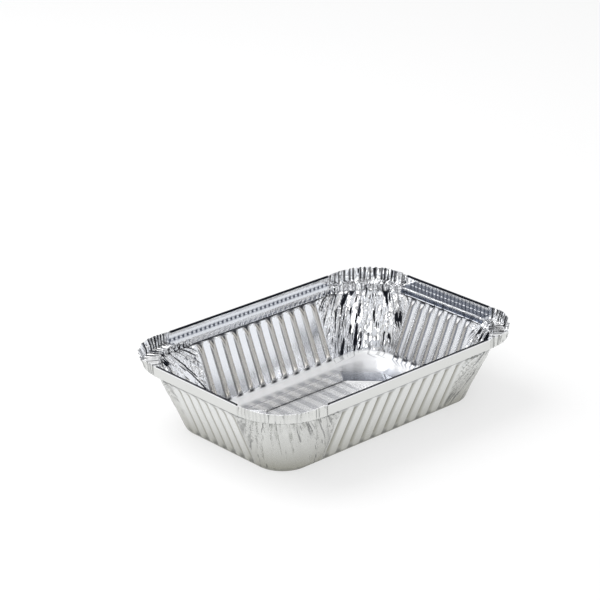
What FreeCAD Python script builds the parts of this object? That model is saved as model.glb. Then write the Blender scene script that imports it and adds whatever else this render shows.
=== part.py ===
import FreeCAD, Part
import math
import os
from collections import namedtuple

# A takeaway tray pressed from one sheet of foil: a stiffened floor, fluted sloping walls, a plain neck,
# a narrow ledge, an upright rim with pleated corners, and a hem rolled inwards along each straight side.
# Millimetres, +Z up, origin under the middle of the floor, the long side along X.

# Overall sizes, measured over the rim
RIM_LENGTH = 200.0
RIM_WIDTH = 134.0
TRAY_HEIGHT = 47.0
FOIL = 0.1

# Rim, ledge and neck
RIM_HEIGHT = 6.5
RIM_CORNER = 33.0
RIM_FLARE = 6.0
LEDGE_WIDTH = 5.5
NECK_HEIGHT = 4.2

# Sloping wall and the bevel round its foot
WALL_LEAN = 16.1
WALL_CORNER = 36.0
BASE_CORNER = 17.0
FOOT_RUN = 1.0
FOOT_RISE = 1.2

# Flutes: grooves pressed into the outside of the wall
FLUTE_DEPTH = 1.5
FLUTE_MOUTH = 3.8
FLUTE_BOTTOM = 1.8
FLUTE_TIP = 2.0
FLUTE_TIP_BOTTOM = 0.9
FLUTE_FOOT = 3.0
FLUTE_HEAD = 3.8
LONG_PITCH = 9.0
SHORT_PITCH = 7.5
LONG_PLAIN = 11.0
SHORT_PLAIN = 0.5

# Folds gathered in each corner, as depths inwards from the smooth corner, and how far they dip in the ledge
CORNER_FOLD_COUNT = 17
FADING_LINES = 4
FOLD_UNEVENNESS = 0.5
FOOT_FOLD = 0.3
WALL_FOLD = 1.5
NECK_FOLD = 0.8
RIM_FOLD = 0.9
LEDGE_DIP = 0.3

# Hem along the straight sides of the rim
HEM_DIAMETER = 1.5
HEM_TURN = 290.0
HEM_STEPS = 9
LONG_HEM_SETBACK = 4.5
SHORT_HEM_SETBACK = 0.5

# Raised panel that stiffens the floor: a shallow slope up to a cut-cornered step, then one up to the crown
PANEL_MARGIN = 6.6
PANEL_CORNER = 21.0
STEP_END = 14.0
STEP_SIDE = 8.0
STEP_CHAMFER = 18.0
STEP_RISE = 1.0
CROWN_END = 9.0
CROWN_SIDE = 12.0
CROWN_RISE = 0.9
CHAMFER_PIECES = 6

# Farthest that four points may stand out of one plane and still make one flat face
FLAT = 1e-6

WALL_TOP = TRAY_HEIGHT - RIM_HEIGHT - NECK_HEIGHT
LEDGE_LEVEL = TRAY_HEIGHT - RIM_HEIGHT
BASE_INSET = LEDGE_WIDTH + WALL_LEAN
HEM_RADIUS = HEM_DIAMETER / 2

# A quarter of a rounded rectangle is walked from the middle of the long side to that of the short side
Outline = namedtuple("Outline", "half_x half_y radius")
Level = namedtuple("Level", "z inset radius depth mouth bottom fold dip end_drop")
MIRRORS = ((1, 1), (1, -1), (-1, -1), (-1, 1))


def outline_at(inset, radius):
    """Rounded rectangle that stands inset from the outside of the rim."""
    return Outline(RIM_LENGTH / 2 - inset, RIM_WIDTH / 2 - inset, radius)


def quarter_length(outline):
    straights = outline.half_x + outline.half_y - 2 * outline.radius
    return straights + outline.radius * math.pi / 2


def walk_to(reach, half, radius):
    """Distance walked from the middle of a side to the point that is reach along it."""
    straight = half - radius
    if reach <= straight:
        return reach
    return straight + radius * math.asin(min(1.0, (reach - straight) / radius))


def spot(outline, walked):
    """Point and outward direction after a walk along the quarter."""
    run = outline.half_x - outline.radius
    bend = outline.radius * math.pi / 2
    if walked <= run:
        return (walked, outline.half_y), (0.0, 1.0)
    if walked <= run + bend:
        turn = (walked - run) / outline.radius
        out = (math.sin(turn), math.cos(turn))
        x = run + outline.radius * out[0]
        y = outline.half_y - outline.radius + outline.radius * out[1]
        return (x, y), out
    return (outline.half_x, outline.half_y - outline.radius - (walked - run - bend)), (1.0, 0.0)


def flute_count(half, plain, pitch):
    """Grooves that fit on the straight stretch at the top of a wall, between its plain ends."""
    straight = half - LEDGE_WIDTH - WALL_CORNER - plain
    return int((2 * straight - FLUTE_MOUTH) / pitch) + 1


LONG_FLUTES = flute_count(RIM_LENGTH / 2, LONG_PLAIN, LONG_PITCH)
SHORT_FLUTES = flute_count(RIM_WIDTH / 2, SHORT_PLAIN, SHORT_PITCH)


def flute_edges(count, pitch, level):
    """Places of the groove edges on half a side, nearest its middle first, each with its depth."""
    edges = []
    for number in range(count):
        middle = (number - (count - 1) / 2) * pitch
        edges.append((middle - level.mouth / 2, 0.0))
        edges.append((middle - level.bottom / 2, level.depth))
        edges.append((middle + level.bottom / 2, level.depth))
        edges.append((middle + level.mouth / 2, 0.0))
    return [edge for edge in edges if edge[0] > 0]


def fold_share(number):
    """Share of the full depth at one fold line. Ridges have none, and hollows fade at the corner's ends."""
    if number % 2 == 0:
        return 0.0
    fade = min(1.0, number / FADING_LINES, (2 * CORNER_FOLD_COUNT - number) / FADING_LINES)
    return fade * (1 - FOLD_UNEVENNESS * math.sin(number * number) ** 2)


def corner_run(level, outline, start, end):
    """Fold lines of one corner at one level, between two distances along the quarter."""
    points = []
    last = 2 * CORNER_FOLD_COUNT
    for number in range(last + 1):
        (x, y), (out_x, out_y) = spot(outline, start + (end - start) * number / last)
        share = fold_share(number)
        drop = level.end_drop if number in (0, last) else share * level.dip
        depth = share * level.fold
        points.append(FreeCAD.Vector(x - out_x * depth, y - out_y * depth, level.z - drop))
    return points


def mirrored(points, mirror):
    """The same points in another quarter, still clockwise from above."""
    flipped = [FreeCAD.Vector(p.x * mirror[0], p.y * mirror[1], p.z) for p in points]
    return flipped if mirror[0] == mirror[1] else flipped[::-1]


def full_ring(long_half, corner, short_half):
    """Eight runs clockwise from above: corner, side, corner and so on. Neighbours share their end points."""
    runs = []
    for number, mirror in enumerate(MIRRORS):
        following = MIRRORS[(number + 1) % len(MIRRORS)]
        half = long_half if number % 2 else short_half
        turned = mirrored(corner, mirror)
        side = mirrored(half, mirror) + mirrored(half, following)
        runs.append(turned)
        runs.append([turned[-1]] + side + [mirrored(corner, following)[0]])
    return runs


def fluted_ring(level):
    """Ring of a level that carries the groove edges on its sides."""
    outline = outline_at(level.inset, level.radius)
    whole = quarter_length(outline)
    long_edges = flute_edges(LONG_FLUTES, LONG_PITCH, level)
    short_edges = flute_edges(SHORT_FLUTES, SHORT_PITCH, level)
    long_half = []
    for reach, depth in long_edges:
        walked = walk_to(reach, outline.half_x, outline.radius)
        x, y = spot(outline, walked)[0]
        long_half.append(FreeCAD.Vector(x, y - depth, level.z))
    short_half = []
    for reach, depth in short_edges:
        walked_back = walk_to(reach, outline.half_y, outline.radius)
        x, y = spot(outline, whole - walked_back)[0]
        short_half.append(FreeCAD.Vector(x - depth, y, level.z))
    corner = corner_run(level, outline, walked, whole - walked_back)
    return full_ring(long_half[:-1], corner, short_half[-2::-1])


def plain_ring(level):
    """Ring of a level whose straight sides carry nothing, from hem end to hem end."""
    outline = outline_at(level.inset, level.radius)
    long_reach = min(RIM_LENGTH / 2 - RIM_CORNER - LONG_HEM_SETBACK, outline.half_x - outline.radius)
    short_reach = min(RIM_WIDTH / 2 - RIM_CORNER - SHORT_HEM_SETBACK, outline.half_y - outline.radius)
    return full_ring([], corner_run(level, outline, long_reach, quarter_length(outline) - short_reach), [])


def outer_ring(level):
    return fluted_ring(level) if level.mouth else plain_ring(level)


def wall_level(z, depth, mouth, bottom, fold):
    """A level on the sloping wall, whose corner grows from the foot to the top."""
    share = z / WALL_TOP
    radius = BASE_CORNER + (WALL_CORNER - BASE_CORNER) * share
    return Level(z, BASE_INSET - WALL_LEAN * share, radius, depth, mouth, bottom, fold, 0.0, 0.0)


def outer_levels():
    """Levels of the outside of the tray, from the edge of the floor to the top of the rim."""
    tip = (0.0, FLUTE_TIP, FLUTE_TIP_BOTTOM)
    full = (FLUTE_DEPTH, FLUTE_MOUTH, FLUTE_BOTTOM)
    none = (0.0, 0.0, 0.0)
    top_corner = RIM_CORNER - RIM_FLARE
    return [
        Level(0.0, BASE_INSET + FOOT_RUN, BASE_CORNER - FOOT_RUN, *tip, 0.0, 0.0, 0.0),
        wall_level(FOOT_RISE, *tip, FOOT_FOLD),
        wall_level(FOOT_RISE + FLUTE_FOOT, *full, FOOT_FOLD),
        wall_level(WALL_TOP - FLUTE_HEAD, *full, WALL_FOLD),
        wall_level(WALL_TOP, *tip, NECK_FOLD),
        Level(LEDGE_LEVEL, LEDGE_WIDTH, WALL_CORNER, *none, NECK_FOLD, 0.0, 0.0),
        Level(LEDGE_LEVEL, 0.0, RIM_CORNER, *none, NECK_FOLD, LEDGE_DIP, 0.0),
        Level(TRAY_HEIGHT, 0.0, top_corner, *none, RIM_FOLD, 0.0, HEM_RADIUS),
    ]


def mitre(first, second):
    """Shift that moves two neighbouring lines, given by their unit normals, inwards by one."""
    share = 1 + first[0] * second[0] + first[1] * second[1]
    return (first[0] + second[0]) / share, (first[1] + second[1]) / share


def section_shifts(levels):
    """How far inwards and upwards the inner face stands from the outer one at each level."""
    normals = [(0.0, 1.0)]
    for low, high in zip(levels, levels[1:]):
        run = low.inset - high.inset
        rise = high.z - low.z
        length = math.hypot(run, rise)
        normals.append((rise / length, run / length))
    normals.append(normals[-1])
    return [mitre(first, second) for first, second in zip(normals, normals[1:])]


def edge_normal(start, end):
    """Unit direction towards the inside of a loop that runs clockwise."""
    run, rise = end.x - start.x, end.y - start.y
    length = math.hypot(run, rise)
    return rise / length, -run / length


def inner_ring(runs, shift, plain):
    """The inner face's ring: each point moved inwards in plan and upwards by the sheet's thickness."""
    loop = [point for run in runs for point in run[:-1]]
    starts = [0]
    for run in runs:
        starts.append(starts[-1] + len(run) - 1)
    side_starts = starts[1::2]
    side_ends = starts[0:-1:2]
    moved = []
    for number, point in enumerate(loop):
        before = edge_normal(loop[number - 1], point)
        after = edge_normal(point, loop[(number + 1) % len(loop)])
        if plain and number in side_starts:
            before = after
        if plain and number in side_ends:
            after = before
        x, y = mitre(before, after)
        inwards, upwards = FOIL * shift[0], FOIL * shift[1]
        moved.append(point + FreeCAD.Vector(x * inwards, y * inwards, upwards))
    moved.append(moved[0])
    return [moved[start:end + 1] for start, end in zip(starts, starts[1:])]


def flat_face(points):
    """Flat face with the given corners, leaving out any that repeat."""
    corners = []
    for point in points:
        if not corners or point.distanceToPoint(corners[-1]) > FLAT:
            corners.append(point)
    if corners[0].distanceToPoint(corners[-1]) < FLAT:
        corners.pop()
    return Part.Face(Part.makePolygon(corners + corners[:1]))


def is_flat(a, b, c, d):
    normal = (b - a).cross(c - a)
    if normal.Length < FLAT:
        return True
    return abs(normal.normalize().dot(d - a)) < FLAT


def strip(lower, upper):
    """Faces between two runs with as many points: one for each step where it is flat, or else two."""
    faces = []
    for number in range(len(lower) - 1):
        a, b = lower[number], lower[number + 1]
        c, d = upper[number + 1], upper[number]
        if is_flat(a, b, c, d):
            faces.append(flat_face([a, b, c, d]))
        else:
            faces.append(flat_face([a, b, c]))
            faces.append(flat_face([a, c, d]))
    return faces


def band(lower, upper):
    """Faces between two rings. Sides with unlike points are one flat panel each."""
    faces = []
    for low, high in zip(lower, upper):
        if len(low) == len(high):
            faces += strip(low, high)
        else:
            faces.append(flat_face(low + high[::-1]))
    return faces


def cut_cornered(half_x, half_y, chamfer, z):
    """Ring of a rectangle with its corners cut off, each cut in equal pieces."""
    cut = min(chamfer, half_x, half_y)
    corner = []
    for number in range(CHAMFER_PIECES + 1):
        along = cut * number / CHAMFER_PIECES
        corner.append(FreeCAD.Vector(half_x - cut + along, half_y - along, z))
    return full_ring([], corner, [])


def panel_outline(half_x, half_y, z):
    """Ring of the rounded rectangle in which the floor's panel starts."""
    outline = Outline(half_x, half_y, min(PANEL_CORNER, half_x, half_y))
    corner = []
    for number in range(CHAMFER_PIECES + 1):
        walked = outline.half_x - outline.radius
        walked += outline.radius * math.pi / 2 * number / CHAMFER_PIECES
        (x, y), out = spot(outline, walked)
        corner.append(FreeCAD.Vector(x, y, z))
    return full_ring([], corner, [])


def loop_wire(runs):
    points = [point for run in runs for point in run[:-1]]
    return Part.makePolygon(points + points[:1])


def floor_faces(edge, z):
    """Flat ring that the tray stands on, and the panel raised inside it."""
    half_x = RIM_LENGTH / 2 - BASE_INSET - PANEL_MARGIN
    half_y = RIM_WIDTH / 2 - BASE_INSET - PANEL_MARGIN
    start = panel_outline(half_x, half_y, z)
    step_x, step_y = half_x - STEP_END, half_y - STEP_SIDE
    step = cut_cornered(step_x, step_y, STEP_CHAMFER, z + STEP_RISE)
    crown_x, crown_y = step_x - CROWN_END, step_y - CROWN_SIDE
    crown = cut_cornered(crown_x, crown_y, crown_y, z + STEP_RISE + CROWN_RISE)
    faces = [Part.makeFace([loop_wire(edge), loop_wire(start)], "Part::FaceMakerBullseye")]
    faces += band(start, step) + band(step, crown)
    faces.append(flat_face([point for run in crown for point in run]))
    return faces


def hem_faces(start, end):
    """Hem rolled inwards from the top of one straight side, between two points of its outer face."""
    along = (end - start).normalize()
    inwards = FreeCAD.Vector(along.y, -along.x, 0)
    upwards = FreeCAD.Vector(0, 0, 1)
    outer, inner = [], []
    for number in range(HEM_STEPS + 1):
        turn = math.radians(HEM_TURN) * number / HEM_STEPS
        spoke = upwards * math.sin(turn) - inwards * math.cos(turn)
        outer.append(inwards * HEM_RADIUS + spoke * HEM_RADIUS)
        inner.append(inwards * HEM_RADIUS + spoke * (HEM_RADIUS - FOIL))
    section = outer + inner[::-1]
    faces = []
    for near, far in zip(section, section[1:]):
        faces.append(flat_face([start + near, end + near, end + far, start + far]))
    faces.append(flat_face([start + point for point in section]))
    faces.append(flat_face([end + point for point in section]))
    return faces


def foil_tray():
    """The whole sheet: outer face, inner face, and the edge that joins them round the rim."""
    levels = outer_levels()
    outer = [outer_ring(level) for level in levels]
    inner = []
    for level, ring, shift in zip(levels, outer, section_shifts(levels)):
        inner.append(inner_ring(ring, shift, not level.mouth))
    faces = floor_faces(outer[0], 0.0) + floor_faces(inner[0], FOIL)
    for skin in (outer, inner):
        for lower, upper in zip(skin, skin[1:]):
            faces += band(lower, upper)
    for outside, inside in zip(outer[-1][0::2], inner[-1][0::2]):
        faces += strip(outside, inside)
    for side in outer[-1][1::2]:
        faces += hem_faces(side[0], side[-1])
    shell = Part.makeShell(faces)
    shell.sewShape()
    solid = Part.Solid(Part.Shell(shell.Faces))
    if solid.Volume < 0:
        solid.reverse()
    return solid


tray = foil_tray()
print("faces", len(tray.Faces), "volume", round(tray.Volume, 1), "valid", tray.isValid())
os.makedirs("parts", exist_ok=True)
tray.exportStep("parts/foil_tray.step")
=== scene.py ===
import math
import random

import bmesh
import bpy
import numpy as np
from bpy.props import FloatProperty, FloatVectorProperty, IntProperty, PointerProperty
from bpy.types import Operator, Panel, PropertyGroup
from collections import namedtuple
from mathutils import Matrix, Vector


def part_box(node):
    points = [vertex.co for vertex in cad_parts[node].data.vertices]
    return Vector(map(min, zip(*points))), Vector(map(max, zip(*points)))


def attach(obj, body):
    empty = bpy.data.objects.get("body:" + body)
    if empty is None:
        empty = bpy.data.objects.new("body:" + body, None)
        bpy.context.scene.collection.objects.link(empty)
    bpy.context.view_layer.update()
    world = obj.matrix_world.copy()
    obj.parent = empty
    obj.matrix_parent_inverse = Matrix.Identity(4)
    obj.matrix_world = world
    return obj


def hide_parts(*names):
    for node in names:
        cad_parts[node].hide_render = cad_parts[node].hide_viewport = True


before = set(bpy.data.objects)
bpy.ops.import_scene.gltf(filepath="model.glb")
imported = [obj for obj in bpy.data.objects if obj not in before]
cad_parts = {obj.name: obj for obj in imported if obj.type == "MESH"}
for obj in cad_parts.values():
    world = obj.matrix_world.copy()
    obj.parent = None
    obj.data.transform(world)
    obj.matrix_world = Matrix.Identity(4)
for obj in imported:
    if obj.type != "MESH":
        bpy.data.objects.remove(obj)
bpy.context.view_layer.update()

bl_info = {
    "name": "Pressed Foil Tray",
    "version": (1, 0, 0),
    "blender": (4, 5, 0),
    "location": "View3D > Sidebar > Foil Tray",
    "description": "Presses a fluted foil tray from a flat blank and sets it on a pale studio floor",
    "category": "Object",
}

# The tray's node and body in the frame
NODE = "foil_tray"
BODY = "root"

MM = 0.001
TRAY_LOW, TRAY_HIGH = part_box(NODE)
RIM_LENGTH = (TRAY_HIGH[0] - TRAY_LOW[0]) / MM
RIM_WIDTH = (TRAY_HIGH[1] - TRAY_LOW[1]) / MM
TRAY_HEIGHT = (TRAY_HIGH[2] - TRAY_LOW[2]) / MM
SEED = 7


def in_mm(name, description, default):
    return FloatProperty(name=name, description=description + ", in mm", default=default)


def turned(name, description, degrees):
    return FloatProperty(name=name, description=description, default=math.radians(degrees), subtype="ANGLE")


def tinted(name, description, default):
    return FloatVectorProperty(name=name, description=description, default=default, subtype="COLOR", min=0.0, max=1.0)


class TrayShape(PropertyGroup):
    """Sizes of the pressed tray, in millimetres"""

    rim_height: in_mm("Rim height", "Ledge to the top of the rim", 6.5)
    rim_corner: in_mm("Rim corner", "Corner radius at the rim's foot", 33.0)
    rim_flare: in_mm("Rim flare", "Corner radius lost up to the rim's top", 6.0)
    ledge: in_mm("Ledge", "Width of the ledge inside the rim", 5.5)
    neck: in_mm("Neck", "Height of the plain band under the ledge", 4.2)
    lean: in_mm("Wall lean", "How far the wall leans in to its foot", 16.1)
    wall_corner: in_mm("Wall corner", "Corner radius at the wall's top", 36.0)
    base_corner: in_mm("Base corner", "Corner radius at the foot", 17.0)
    foot_run: in_mm("Foot run", "Width of the bend at the foot", 1.0)
    foot_rise: in_mm("Foot rise", "Height of the bend at the foot", 1.6)
    foil: in_mm("Foil", "Thickness of the sheet", 0.1)
    hem: in_mm("Hem", "Diameter of the rolled hem", 1.5)
    hem_turn: turned("Hem turn", "How far the hem is rolled", 290)
    hem_long: in_mm("Long hem", "Half the hem's length on a long side", 62.5)
    hem_short: in_mm("Short hem", "Half the hem's length on a short side", 33.5)


class FluteShape(PropertyGroup):
    """Grooves pressed into the outside of the wall, in millimetres"""

    depth: in_mm("Depth", "Depth of a groove", 1.5)
    mouth: in_mm("Mouth", "Width of a groove at its mouth", 3.8)
    long_count: IntProperty(name="Long side", description="Grooves on a long side", default=11)
    short_count: IntProperty(name="Short side", description="Grooves on a short side", default=7)
    long_pitch: in_mm("Long pitch", "Groove to groove on a long side", 9.0)
    short_pitch: in_mm("Short pitch", "Groove to groove on a short side", 7.5)


class FoilFinish(PropertyGroup):
    """Colours and gloss of the two faces of the foil, with the painted shade in the outside's grooves and the painted
    reflection on the inside's ribs
    """

    outside: tinted("Outside", "Colour of the satin face", (0.84, 0.85, 0.84))
    inside: tinted("Inside", "Colour of the bright face", (0.94, 0.945, 0.955))
    # Painted shade: the outside's grooves are coloured darker, for the shadowed floor that they mirror
    groove: tinted("Groove", "Colour in the grooves of the outside", (0.30, 0.29, 0.245))
    # Painted reflection: the inside's ribs are coloured brown-grey, for what they mirror
    rib_reflection: tinted("Rib", "Colour of the ribs inside", (0.43, 0.405, 0.36))
    satin: FloatProperty(name="Satin", description="Roughness of the outside", default=0.3, min=0.0, max=1.0)
    bright: FloatProperty(name="Bright", description="Roughness of the inside", default=0.16, min=0.0, max=1.0)


class StudioSettings(PropertyGroup):
    """Floor colour and camera"""

    floor: tinted("Floor", "Colour of the floor", (0.86, 0.86, 0.86))
    azimuth: turned("Azimuth", "Turn of the camera round the tray", -42.9)
    elevation: turned("Elevation", "Height of the camera over the tray", 22.62)
    distance: FloatProperty(name="Distance", description="Camera to the point it looks at", default=1.2949,
                            unit="LENGTH")
    target: FloatVectorProperty(name="Target", description="The point that the camera looks at",
                                default=(0.02375, 0.04916, 0.04693), subtype="TRANSLATION", unit="LENGTH")
    lens: in_mm("Lens", "Focal length on a 36 mm frame", 130.66)


# The corners, by the signs of their X and Y: how deep each one's wall folds and rim pleats are, how far its folds
# spread towards the foot, and how far the top of its rim is pushed in, in mm
CORNERS = {(1, 1): (1.1, 1.0, 1.3, 0.0), (1, -1): (1.2, 1.1, 0.9, 2.2),
           (-1, -1): (1.3, 0.5, 1.0, 0.0), (-1, 1): (1.3, 1.2, 1.9, 0.0)}
PUSH_REACH = 21.0

# Columns of the blank: round one flute as shares of the pitch, and counts on the plain ends and corners
FLUTE_COLUMNS = (-0.5, -0.36, -0.24, -0.2, -0.16, -0.11, -0.055, 0.0, 0.055, 0.11, 0.16, 0.2, 0.24, 0.36)
PLAIN_COLUMNS = 16
SHORT_PLAIN_COLUMNS = 6
CORNER_COLUMNS = 124
LONG_PLAIN_AT_FOOT = 56.0

# Columns from one tick, painted bar of reflection or shade, or painted patch of reflection along the hemmed sides
# to the next
TICK_COLUMNS = 3
BAR_COLUMNS = 5
PATCH_COLUMNS = 6

# Rows of the blank: on the bend at the foot, the wall, the neck, the ledge and the rim, and round the hem
FOOT_ROWS = (0.0, 0.35, 0.7, 1.0)
WALL_ROWS = (2.3, 3.1, 4.0, 5.0, 7.0, 9.5, 12.2, 15.0, 17.8, 20.5, 23.0, 25.3, 27.3, 29.2, 30.9, 32.4, 33.6, 34.6, 35.5)
NECK_ROWS = (0.0, 0.1, 0.33, 0.6, 0.85)
LEDGE_ROWS = (0.0, 0.1, 0.42, 0.78)
RIM_ROWS = (0.0, 0.12, 0.3, 0.48, 0.93, 1.0)
HEM_STEPS = 8

# Where a groove starts and reaches full depth, up from the floor and down from the neck, in mm,
# and how much wider its mouth is at both ends
GROOVE_FOOT = (1.0, 4.2)
GROOVE_HEAD = (0.2, 4.4)
GROOVE_FLARE = 0.3

# How far the wall's top steps in under the neck, and how far the corners' rims stay under the hem's top, in mm
NECK_STEP = 0.4
CORNER_TOP = 0.08

# Folds in the corners' walls and pleats in their rims, in mm: where they start and end beside the corner's middle,
# towards the short side, their steps and depths, and where the pleats, the painted shade of their creases and the
# folds fade out
FOLD_REACH = (-46.0, 34.0)
FOLD_STEP = (1.1, 2.4)
FOLD_DEPTH = 1.0
FOLD_LEAN = 0.12
PLEAT_REACH = (-33.0, 29.0)
PLEAT_STEP = (0.85, 1.5)
PLEAT_DEPTH = 0.5
PLEAT_LEAN = 0.25
LUMP_DEPTH = 0.5
PLEATED = (-30.4, 26.4, 2.5)
CREASED = (-29.0, 25.0, 1.5)
GATHER_FADE = 4.0

# Crumples: where they lie beside the corner's middle, how wide and high each is, how deep and how many
CRUMPLE_REACH = (-44, 26)
CRUMPLE_SIZE = (2.6, 5.5)
CRUMPLE_DEPTH = 0.5
CRUMPLE_CELLS = 70

# How far ticks stand out and how deep the sheet's slow dents are, in mm
TICK_DEPTH = 0.28
DENT_DEPTH = 0.1

# Shares of the fold lines and of the pleat lines along which shade is painted dark, and how much darker the
# painted shade in the pleats' creases is
DARK_FOLDS = 0.2
DARK_PLEATS = 0.38
PLEAT_CREASE = 2.2

# How dark the painted shade of the ticks on the long sides is on the rim's rows, from its foot up
RIM_BARS = (1.0, 0.9, 0.0, 0.0)

# How dark the painted shade round the hem's roll is, standing in for the gap under it, at turns in degrees, and
# how much later that starts on the far sides
HEM_TURNS = (0, 18, 37, 360)
HEM_SHADES = (0.0, 0.0, 1.0, 1.0)
HEM_LAG = 68
HEM_MATTE = 1.65

# Panels round the studio, in degrees from -X round by -Y: where each starts and ends, its colour, and the sine
# of the elevation at which it starts. Under them the room is pale, and over them it has a white ceiling
DARK, NAVY, GREY, WHITE = (0.012, 0.012, 0.014), (0.025, 0.032, 0.05), (0.55, 0.55, 0.56), (1.0, 1.0, 1.0)
PANELS = ((0, 12, WHITE, 0.3), (12, 20, DARK, 0.3), (20, 44, WHITE, 0.3), (44, 52, DARK, 0.3), (52, 80, GREY, 0.3),
          (80, 97, DARK, 0.36), (97, 128, WHITE, 0.46), (128, 156, NAVY, 0.46), (156, 182, GREY, 0.4),
          (182, 222, DARK, 0.34), (222, 256, WHITE, 0.34), (256, 270, DARK, 0.3), (270, 300, WHITE, 0.3),
          (300, 326, NAVY, 0.35), (326, 336, WHITE, 0.3), (336, 348, DARK, 0.3), (348, 360, WHITE, 0.3))
PANEL_EDGE = 0.003
PANEL_TOP = 0.86
PALE_ROOM = (0.93, 0.95, 0.99)
DIFFUSE_ROOM = ((0.0, (0.22, 0.22, 0.22)), (0.35, (0.42, 0.42, 0.43)), (0.8, (1.0, 1.0, 1.0)))

# Tones kept on the sheet's points: painted shade, painted reflection in the grooves, mattness, crinkling, and painted
# reflection in bar and stripe patterns; and the place among a corner's folds, with the corners set apart from each
# other
TONES = ("shade", "warmth", "matte", "crinkle", "bars", "stripes")
FOLD_PLACE = "fold_place"
CORNER_GAP = 17.3

# How often the foil's patterns repeat: mill streaks, smudges, grain and unevenness in a metre of the sheet, and
# folds, cells and wedges in a millimetre across the corners' folds and in one up the wall
STREAK_SCALE = (60.0, 1600.0, 1600.0)
SMUDGE_SCALE = 45.0
GRAIN_SCALE = 2600.0
FINE_SCALE = 420.0
FOLD_SCALE = (0.6, 0.07, 1.0)
CELL_SCALE = (0.5, 0.22, 1.0)
WEDGE_SCALE = (0.22, 0.045, 1.0)

# Heights at which the painted shade on the rim starts, the painted shade wedges end and the painted shade towards
# the foot ends, and the pitch of the floor's striped painted reflection, in metres
RIM_FOOT = 0.0402
WEDGE_TOP = 0.0362
FOOT_SHADE_TOP = 0.034
STRIPE_PITCH = 0.009

# Colours of the painted shade in creases and crevices, of the painted reflection of dark panels (also painted shade
# under the hem and at the ticks), and of the painted shade towards the foot, and how much rougher and less metallic
# matt foil is
PAINTED_SHADE_COLOUR = (0.014, 0.016, 0.022)
PAINTED_REFLECTION_AND_SHADE_COLOUR = (0.085, 0.105, 0.155)
PAINTED_SOFT_SHADE_COLOUR = (0.29, 0.285, 0.24)
MATTE_RISE = 0.35
MATTE_METAL = 0.6

Row = namedtuple("Row", "kind share z inset radius long_end")
Pressed = namedtuple("Pressed", "inwards groove lift shade warmth matte bars")
Lines = namedtuple("Lines", "places swings leans starts")
Corner = namedtuple("Corner", "mine number signs fold pleat fan pushed folds pleats cells dark_folds dark_pleats")

# One face of the foil: its colour and roughness, the strength of its streaks and grain, the colour of the painted
# reflection in its grooves with its strength and narrowness, how much painted crease shade and painted bar
# reflection darken it, how much painted shade darkens it towards the foot, how much crinkles polish it, the level of
# noise at which painted shade stroke marks start, and its gloss
Face = namedtuple("Face", "colour roughness streak grain groove groove_share narrow dark barred fall polish sparse"
                          " gloss")


def halves(inset):
    """Half the length and width at an inset from the rim."""
    return RIM_LENGTH / 2 - inset, RIM_WIDTH / 2 - inset


def smooth(value):
    """Soft step from 0 to 1, for a number or an array."""
    held = np.clip(value, 0.0, 1.0)
    return held * held * (3.0 - 2.0 * held)


def within(places, start, end, fade):
    """1 between two places, fading to 0 at both."""
    return smooth((places - start) / fade) * smooth((end - places) / fade)


def in_order(places):
    """The places, with none before the one that it follows."""
    return np.maximum.accumulate(places + np.arange(len(places)) * 1e-4)


def walk_to(reach, half, radius):
    """Distance walked along an outline from the middle of a side to what is reach along it."""
    straight = half - radius
    bend = np.arcsin(np.clip((reach - straight) / radius, 0.0, 1.0))
    return np.where(reach <= straight, reach, straight + radius * bend)


def quarter_walk(half_x, half_y, radius):
    return half_x + half_y - 2 * radius + radius * math.pi / 2


def spots(half_x, half_y, radius, walked):
    """Points and outward directions on a quarter of a rounded rectangle."""
    run = half_x - radius
    turn = np.clip((walked - run) / radius, 0.0, math.pi / 2)
    tail = np.maximum(walked - run - radius * math.pi / 2, 0.0)
    out = np.stack([np.sin(turn), np.cos(turn)], -1)
    x = np.minimum(walked, run) + radius * out[:, 0]
    y = half_y - radius + radius * out[:, 1] - tail
    return np.stack([x, y], -1), out


def side_places(count, pitch, edge, end, plain):
    """Signed places along a side: the flutes' own columns, stretched beyond the last flute's edge to the end."""
    fluted = count * pitch / 2
    middles = (np.arange(count) - (count - 1) / 2) * pitch
    inner = (middles[:, None] + np.array(FLUTE_COLUMNS)[None, :] * pitch).ravel()
    outer = np.linspace(fluted, end, plain + 1) if plain else np.array([fluted])
    places = np.concatenate([-outer[:0:-1], inner, outer])
    past = np.maximum(np.abs(places) - edge, 0.0)
    return np.sign(places) * (np.abs(places) - past + past * (end - edge) / (outer[-1] - edge))


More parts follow.
